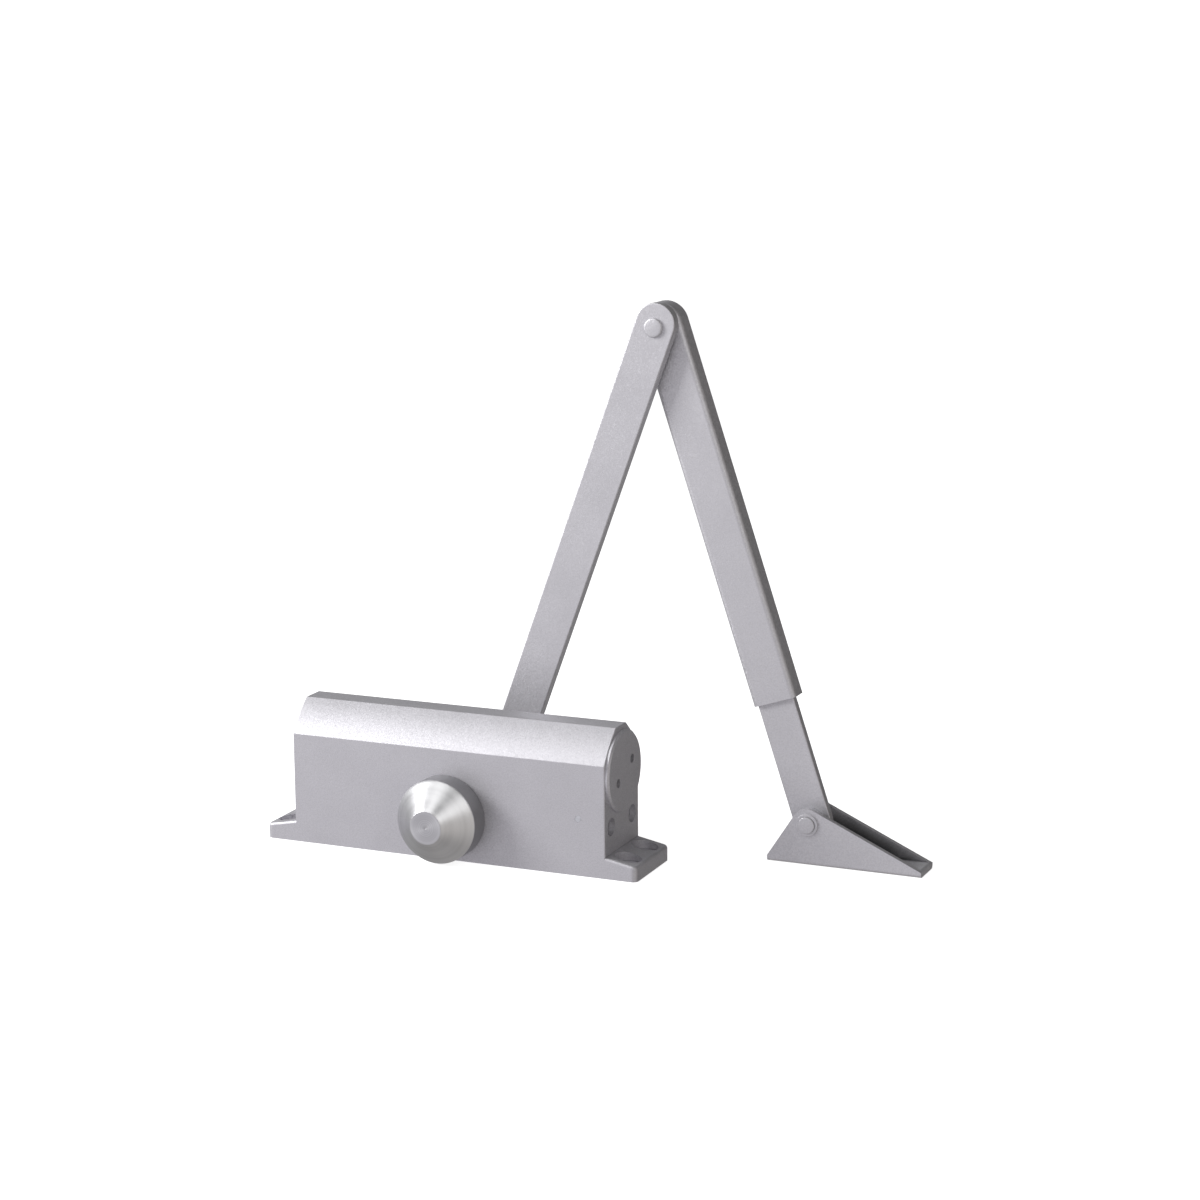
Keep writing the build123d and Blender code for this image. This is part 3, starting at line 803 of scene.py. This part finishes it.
@dataclass
class SocketScrew(Turned):
    """Socket-head screw with a knurled head.

    Attributes:
        shank: radius of the shank.
        head_height: height of the head.
        flats: width across the socket's flats.
        depth: depth of the socket.
        edge: rounding of the head's top edge.
        point: chamfer of the shank's end.
        under: chamfer of the head's lower edge.
        plain: plain band above and below the knurls.
        rows: rows of faces along the knurls.
        lead: depth of the socket's countersink.
    """

    shank: float = 3.0 * MM
    head_height: float = 4.5 * MM
    flats: float = 5.0 * MM
    depth: float = 2.7 * MM
    edge: float = 0.7 * MM
    point: float = 0.5 * MM
    under: float = 0.2 * MM
    plain: float = 0.4 * MM
    rows: int = 6
    lead: float = 0.35 * MM

    def rings(self) -> list[Ring]:
        """Rings from the shank's end to the bottom of the socket."""
        radius, length = self.size()
        seat, e = length - self.head_height, self.edge
        rings = [Ring(0.0, 0.0), Ring(self.shank - self.point, 0.0), Ring(self.shank, self.point),
                 Ring(self.shank, seat), Ring(radius - self.under, seat), Ring(radius, seat + self.under)]
        start, end = seat + self.plain, length - e - self.plain
        rings += [Ring(radius, start + (end - start) * step / self.rows, Form.KNURLED)
                  for step in range(self.rows + 1)]
        rings += arc((radius - e, length - e), e, 0.0, 90.0, 5)
        socket, bottom = self.flats / 2, length - self.depth
        rings += [Ring(socket * 1.2, length), Ring(socket * 1.12, length - 0.1 * MM),
                  Ring(socket, length - self.lead, Form.HEXAGON), Ring(socket, bottom, Form.HEXAGON),
                  Ring(socket * 0.7, bottom - 0.2 * MM), Ring(0.0, bottom - 0.8 * MM)]
        return rings


@dataclass
class ValveScrew(Assembly):
    """Regulating screw whose domed, slotted head shows in its recess.

    Attributes:
        node: the CAD node that it replaces.
        slot_width: width of the driver slot.
        slot_depth: depth of the slot below the dome's top.
        dome: height of the dome.
        ring: distance of the O-ring from the head's seat, half its width and its depth.
        head: length of the head in the recess.
        cone: radius of the metering tip, its step to the screw's radius, and its length.
        turned: degrees that the slot is turned.
        draft: how much narrower the slot is at its bottom, on each side.
        steps: steps round the axis.
    """

    node: str = ""
    slot_width: float = 0.9 * MM
    slot_depth: float = 1.2 * MM
    dome: float = 0.95 * MM
    ring: Triple = (6.0 * MM, 0.6 * MM, 1.2 * MM)
    head: float = 1.8 * MM
    cone: Triple = (0.4 * MM, 1.4 * MM, 2.5 * MM)
    turned: float = 25.0
    draft: float = 0.04 * MM
    steps: int = 72

    def rings(self, radius: float, length: float) -> list[Ring]:
        """Rings from the metering tip to the dome.

        Args:
            radius: the screw's radius.
            length: the screw's length.

        Returns:
            The rings.
        """
        tip, step_in, cone = self.cone
        away, half, deep = self.ring
        middle, shoulder = length - self.head - away, length - self.dome
        rings = [Ring(0.0, 0.0), Ring(tip, 0.0), Ring(radius - step_in, cone), Ring(radius, cone),
                 Ring(radius, middle - half), Ring(radius - deep, middle - half),
                 Ring(radius - deep, middle + half), Ring(radius, middle + half), Ring(radius, shoulder)]
        for step in range(1, 9):
            angle = math.radians(10.0 * step)
            rings.append(Ring(radius * math.cos(angle), shoulder + self.dome * math.sin(angle)))
        return rings + [Ring(0.0, length)]

    def build(self) -> None:
        """Turn the screw, mill its slot and put it in the valve bore."""
        low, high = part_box(self.node)
        length, radius = high.x - low.x, (high.z - low.z) / 2
        mesh = revolve(self.rings(radius, length), self.steps)
        wall, bottom = self.slot_width / 2, length - self.slot_depth
        planes = [((side * across, 0.0, 0.0), (1.0, 0.0, 0.0))
                  for side in (-1, 1) for across in (wall, wall - self.draft)]
        planes.append(((0.0, 0.0, bottom), (0.0, 0.0, 1.0)))
        for point, normal in planes:
            parts = mesh.verts[:] + mesh.edges[:] + mesh.faces[:]
            bmesh.ops.bisect_plane(mesh, geom=parts, dist=1e-7, plane_co=point, plane_no=normal)
        for vert in mesh.verts:
            if abs(vert.co.x) < wall - self.draft / 2 and vert.co.z > bottom:
                vert.co.z = bottom
        bmesh.ops.remove_doubles(mesh, verts=mesh.verts, dist=WELD)
        bmesh.ops.dissolve_degenerate(mesh, edges=mesh.edges, dist=WELD)
        piece = smooth_piece(f"{self.node}_turned", mesh, 35.0)
        place = Matrix.Translation((low.x, (low.y + high.y) / 2, (low.z + high.z) / 2))
        spin = Matrix.Rotation(math.radians(self.turned), 4, "X")
        piece.matrix_world = place @ spin @ Matrix.Rotation(math.radians(90.0), 4, "Y")
        self.add(piece, Finishes.ZINC, self.node)


@dataclass
class Spring(Assembly):
    """Compression spring along X, wound at its rest length.

    Attributes:
        node: the CAD node that it replaces.
        wire: radius of the wire.
        turns: number of turns.
        joint: the sliding joint whose travel is looked up.
        anchor_high: whether the end at the larger X stays still; not used.
        closed: length of the close turn at each end, in turns.
        steps: steps in one turn.
        sides: sides of the wire.
        slack: the wire's drawn radius over its real one, so that it stays inside the CAD box.
    """

    node: str = ""
    wire: float = 1.0 * MM
    turns: float = 5.0
    joint: str = ""
    anchor_high: bool = True
    closed: float = 0.8
    steps: int = 36
    sides: int = 12
    slack: float = 0.995

    def advance(self, turn: float, length: float) -> float:
        """Place along the axis after a number of turns, with close turns at both ends.

        Args:
            turn: turns from the start.
            length: free length between the wire's end centres.

        Returns:
            Distance from the start.
        """
        close = 2 * self.wire * self.closed
        open_turns = self.turns - 2 * self.closed
        if turn < self.closed:
            return close * turn / self.closed
        if turn > self.turns - self.closed:
            return length - close * (self.turns - turn) / self.closed
        return close + (length - 2 * close) * (turn - self.closed) / open_turns

    def build(self) -> None:
        """Wind the wire, look up the joint's travel and give the piece a mesh of its own."""
        low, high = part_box(self.node)
        mean = (high.z - low.z) / 2 - self.wire
        length = high.x - low.x
        axis = Vector((1.0, 0.0, 0.0))
        mesh = bmesh.new()
        count = round(self.turns * self.steps)
        rows: list[list[bmesh.types.BMVert]] = []
        for step in range(count + 1):
            turn = self.turns * step / count
            angle = 2 * math.pi * turn
            along = self.wire + self.advance(turn, length - 2 * self.wire)
            out = Vector((0.0, math.cos(angle), math.sin(angle)))
            centre = Vector((low.x + along, (low.y + high.y) / 2, (low.z + high.z) / 2)) + out * mean
            row = []
            for side in range(self.sides):
                swing = 2 * math.pi * side / self.sides
                offset = out * math.cos(swing) + axis * math.sin(swing)
                row.append(mesh.verts.new(centre + offset * self.wire * self.slack))
            rows.append(row)
        for before, after in zip(rows, rows[1:]):
            for side in range(self.sides):
                following = (side + 1) % self.sides
                mesh.faces.new([before[side], before[following], after[following], after[side]])
        mesh.faces.new(rows[0])
        mesh.faces.new(rows[-1])
        piece = smooth_piece(f"{self.node}_wound", mesh, 50.0)
        self.add(piece, Finishes.SPRING, self.node)
        keep = 1.0 - joint_travel(self.joint) / length
        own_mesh(piece)


@dataclass
class ThreadedStud(Turned):
    """Stud that clamps the rod in the channel, threaded at its free end.

    Attributes:
        plain: length of the plain part.
        chamfer: chamfer of the free end.
    """

    plain: float = 4.6 * MM
    chamfer: float = 0.6 * MM

    def rings(self) -> list[Ring]:
        """Rings from the web to the free end."""
        radius, length = self.size()
        rows = round((length - self.plain - self.chamfer) / THREAD_PITCH * THREAD_ROWS)
        rings = [Ring(0.0, 0.0), Ring(radius, 0.0), Ring(radius, self.plain)]
        rings += [Ring(radius, self.plain + THREAD_PITCH * row / THREAD_ROWS, Form.THREADED)
                  for row in range(1, rows + 1)]
        return rings + [Ring(radius - self.chamfer, length), Ring(radius * 0.3, length),
                        Ring(0.0, length - 0.1 * MM)]


@dataclass
class HexNut(Turned):
    """Hexagon nut, chamfered at both faces.

    Attributes:
        flats: width across the flats.
        bore: radius of the bore.
        crown: radius of the faces over half the width across the flats.
        slope: growth of the chamfer's radius over its height.
        rows: rings of the chamfer, 0.1 mm apart.
        lead: chamfer of the bore.
    """

    flats: float = 10.0 * MM
    bore: float = 3.04 * MM
    crown: float = 0.95
    slope: float = 1.732
    rows: int = 8
    lead: float = 0.4 * MM

    def size(self) -> tuple[float, float]:
        """Half the width across the flats and the height of the node."""
        low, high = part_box(self.node)
        return self.flats / 2, high.y - low.y

    def rings(self) -> list[Ring]:
        """Rings round the outside and back through the bore."""
        half, height = self.size()
        face = half * self.crown
        rise = [MM * (row / 10) for row in range(self.rows)]
        heights = rise + [height - z for z in reversed(rise)]
        rings = [Ring(self.bore + self.lead, 0.0)]
        for z in heights:
            limit = face + self.slope * min(z, height - z)
            form = Form.ROUND if limit <= half else Form.HEXAGON
            rings.append(Ring(limit if form is Form.ROUND else half, z, form, limit))
        return rings + [Ring(self.bore + self.lead, height), Ring(self.bore, height - self.lead),
                        Ring(self.bore, self.lead)]


@dataclass
class HeadedPin(Turned):
    """Pin or rivet with a formed head at each end.

    Attributes:
        shank: radius of the shank.
        front: (radius, thickness, edge) of each step of the front head, outermost first.
        back: the same for the back head.
        dome: how far the end faces bulge.
    """

    shank: float = 3.0 * MM
    front: Sequence[Triple] = ()
    back: Sequence[Triple] = ()
    dome: float = 0.12 * MM

    def head(self, heads: Sequence[Triple]) -> list[Ring]:
        """Rings of one head.

        Args:
            heads: (radius, thickness, edge) of each step, outermost first.

        Returns:
            The rings from the face, at height 0, to the shank.
        """
        outer = heads[0][0]
        rings = [Ring(0.0, 0.0), Ring(outer * 0.35, self.dome * 0.2), Ring(outer * 0.6, self.dome * 0.6)]
        level = self.dome
        for radius, thickness, edge in heads:
            rings += arc((radius - edge, level + edge), edge, -90.0, 0.0, 5)
            level += thickness - (self.dome if level == self.dome else 0.0)
            rings.append(Ring(radius, level))
        return rings + [Ring(self.shank, level)]

    def rings(self) -> list[Ring]:
        """Rings from the front face to the back face."""
        _, length = self.size()
        behind = [Ring(ring.radius, length - ring.height) for ring in reversed(self.head(self.back))]
        return self.head(self.front) + behind


# ---- studio --------------------------------------------------------------------------------
@dataclass(frozen=True)
class Glow:
    """One broad soft light of the surroundings.

    Attributes:
        towards: direction that it comes from.
        focus: how narrow it is, as a power of the cosine.
        strength: radiance at its middle.
        tint: its colour.
    """

    towards: Triple
    focus: float
    strength: float
    tint: Colour = (1.0, 1.0, 1.02)

    def seen(self, graph: Graph, around: Link) -> Value:
        """Radiance in each direction.

        Args:
            graph: the world's graph.
            around: the direction looked in.

        Returns:
            The radiance.
        """
        made = graph.node("ShaderNodeVectorMath", {"operation": "DOT_PRODUCT"}, n0=around,
                          n1=Vector(self.towards).normalized())
        facing = Value(graph, made.outputs["Value"])
        return facing.apply(Maths.MAXIMUM, facing, 0.0) ** self.focus * self.strength


@dataclass(frozen=True)
class Lamp:
    """A soft square lamp that faces the closer.

    Attributes:
        name: the lamp's name.
        place: its place.
        size: its side in metres.
        power: its power in watts.
    """

    name: str
    place: Triple
    size: float
    power: float


@dataclass
class Studio:
    """Pale floor and backdrop, soft light and the camera.

    Attributes:
        target: point that the camera looks at.
        distance: from the target to the camera.
        azimuth: degrees from the front towards +X.
        elevation: degrees above the horizon.
        roll: degrees of tilt.
        lens: focal length for a 36 mm sensor.
        base: radiance of the surroundings where no glow reaches.
        glows: the broad soft lights.
        lamps: the square lamps.
        floor: radius of the flat floor.
        curve: radius of the curve between floor and wall.
        wall: height of the wall.
        gap: distance of the floor below the closer's base.
    """

    target: Vector = field(default_factory=lambda: Vector((0.0659, 0.0, 0.1179)))
    distance: float = 1.2523
    azimuth: float = 23.527
    elevation: float = 12.059
    roll: float = -0.384
    lens: float = 87.95
    base: float = 0.01
    glows: Sequence[Glow] = (
        Glow((-0.39, -0.27, 0.88), 6.0, 0.68, (1.0, 1.0, 1.0)),
        Glow((-0.39, -0.90, -0.21), 3.0, 0.60, (1.0, 0.98, 1.05)),
        Glow((-1.0, 0.0, 0.15), 3.0, 0.48),
        Glow((-0.35, 1.0, -0.25), 5.0, 0.60),
        Glow((1.0, 0.1, 0.1), 3.0, 0.13, (1.08, 0.99, 0.92)),
        Glow((0.85, -0.49, -0.15), 5.0, 0.60, (1.04, 1.0, 0.97)),
        Glow((0.0, 0.0, -1.0), 2.0, 0.40, (1.02, 0.99, 0.98)),
    )
    lamps: Sequence[Lamp] = (
        Lamp("key_left", (-1.06, -0.60, 0.66), 0.50, 16.0),
        Lamp("key_right", (0.82, -0.92, 0.74), 0.75, 2.6),
        Lamp("key_top", (-0.12, -0.46, 0.80), 0.40, 0.7),
    )
    floor: float = 1.9
    curve: float = 1.2
    wall: float = 2.6
    gap: float = 0.2 * MM

    def camera(self) -> None:
        """Make the camera."""
        data = bpy.data.cameras.new("camera")
        data.lens = self.lens
        data.sensor_width = 36.0
        made = bpy.data.objects.new("camera", data)
        bpy.context.scene.collection.objects.link(made)
        bpy.context.scene.camera = made
        turn, rise = math.radians(self.azimuth), math.radians(self.elevation)
        back = Vector((math.sin(turn) * math.cos(rise), -math.cos(turn) * math.cos(rise), math.sin(rise)))
        look = (-back).to_track_quat("-Z", "Y").to_matrix().to_4x4()
        tilt = Matrix.Rotation(math.radians(self.roll), 4, "Z")
        made.matrix_world = Matrix.Translation(self.target + back * self.distance) @ look @ tilt

    def backdrop(self) -> None:
        """Make the floor, which curves up into a round wall."""
        rings = [Ring(0.0, 0.0), Ring(0.4, 0.0), Ring(1.0, 0.0)]
        rings += arc((self.floor, self.curve), self.curve, -90.0, 0.0, 16)
        mesh = revolve(rings + [Ring(self.floor + self.curve, self.wall)], 96)
        piece = smooth_piece("backdrop", mesh)
        piece.location = (0.0, 0.0, -self.gap)
        material = bpy.data.materials.new("pale_paper")
        material.use_nodes = True
        graph = Graph(material.node_tree)
        shader = graph.node("ShaderNodeBsdfPrincipled", None, Base_Color=(0.9, 0.9, 0.9, 1.0), Roughness=0.9,
                            Emission_Color=(1.0, 1.0, 1.0, 1.0), Emission_Strength=0.8)
        shader.inputs["Specular IOR Level"].default_value = 0.1
        graph.node("ShaderNodeOutputMaterial", None, Surface=shader.outputs[0])
        piece.data.materials.append(material)
        piece.visible_glossy = False
        piece.visible_diffuse = False

    def world(self) -> None:
        """Soft surroundings made of a few broad glows."""
        world = bpy.data.worlds.new("studio")
        bpy.context.scene.world = world
        world.use_nodes = True
        graph = Graph(world.node_tree)
        around = graph.node("ShaderNodeTexCoord").outputs["Generated"]
        levels = [glow.seen(graph, around) for glow in self.glows]
        channels = []
        for channel in range(3):
            total: Value | float = self.base
            for glow, level in zip(self.glows, levels):
                total = level * glow.tint[channel] + total
            channels.append(total)
        colour = graph.node("ShaderNodeCombineColor", None, n0=channels[0], n1=channels[1], n2=channels[2])
        shade = graph.node("ShaderNodeBackground", None, Color=colour.outputs[0], Strength=1.0)
        graph.node("ShaderNodeOutputWorld", None, Surface=shade.outputs[0])

    def light(self, lamp: Lamp) -> None:
        """Make a lamp.

        Args:
            lamp: what to make.
        """
        data = bpy.data.lights.new(lamp.name, "AREA")
        data.size = lamp.size
        data.energy = lamp.power
        made = bpy.data.objects.new(lamp.name, data)
        bpy.context.scene.collection.objects.link(made)
        made.location = lamp.place
        made.rotation_mode = "QUATERNION"
        made.rotation_quaternion = (self.target - Vector(lamp.place)).to_track_quat("-Z", "Y")

    def build(self) -> None:
        """Make the whole studio."""
        self.camera()
        self.backdrop()
        self.world()
        for lamp in self.lamps:
            self.light(lamp)
        bpy.context.scene.view_settings.view_transform = "Standard"


def main() -> None:
    """Build and dress the closer, then the studio."""
    logging.basicConfig(level=logging.INFO, format="%(message)s")
    paint, arm = Finishes.BODY_PAINT, Finishes.ARM_PAINT
    zinc, ground, rubber = Finishes.ZINC, Finishes.GROUND, Finishes.RUBBER
    assemblies: list[Assembly] = [
        Assembly("closer", {
            "closer_body": paint, "left_end_cap": paint, "right_end_cap": paint,
            "left_cap_o_ring": rubber, "right_cap_o_ring": rubber,
            "front_bearing_nut": zinc, "rear_bearing_nut": zinc,
            "front_needle_bearing": ground, "rear_needle_bearing": ground,
            "front_pinion_seal": rubber, "rear_pinion_seal": rubber, "passage_plug": zinc}),
        Spring("closer", node="outer_spring", wire=1.7 * MM, turns=4.6, joint="piston_slide"),
        Spring("closer", node="inner_spring", wire=1.1 * MM, turns=9.0, joint="piston_slide"),
        ConeCap("closer", node="pinion_cap", finish=Finishes.TURNED, steps=192, forward=True),
        ValveScrew("sweep_valve", {"sweep_valve_o_ring": rubber}, node="sweep_valve_screw"),
        ValveScrew("latch_valve", {"latch_valve_o_ring": rubber}, node="latch_valve_screw"),
        Assembly("spindle", {
            "pinion_shaft": ground, "main_arm": arm, "arm_washer": zinc, "elbow_washer": zinc}),
        SocketScrew("spindle", node="arm_screw", steps=KNURLS * 6),
        HeadedPin("spindle", node="elbow_rivet", finish=arm, front=[(4.2 * MM, 1.4 * MM, 0.75 * MM)],
                  back=[(4.2 * MM, 1.4 * MM, 0.75 * MM)]),
        Assembly("piston", {"piston": Finishes.IRON, "check_plug": zinc}),
        Spring("piston", node="check_spring", wire=0.25 * MM, turns=3.0, joint="check_ball_lift",
               anchor_high=False, closed=0.4),
        Assembly("check_ball", {"check_ball": ground}),
        Assembly("forearm", {"forearm_channel": arm, "clamp_plate": zinc}),
        ThreadedStud("forearm", node="clamp_stud"),
        HexNut("forearm", node="clamp_nut"),
        Assembly("rod", {"adjusting_rod": arm}),
        Assembly("shoe", {"shoe_bracket": arm, "shoe_spacers": zinc}),
        HeadedPin("shoe", node="shoe_pin", finish=arm,
                  front=[(3.7 * MM, 0.9 * MM, 0.4 * MM), (5.0 * MM, 0.9 * MM, 0.2 * MM)],
                  back=[(3.7 * MM, 0.9 * MM, 0.4 * MM)]),
    ]
    for assembly in assemblies:
        assembly.build()
        assembly.dress()
    Studio().build()


if __name__ == "__main__":
    main()
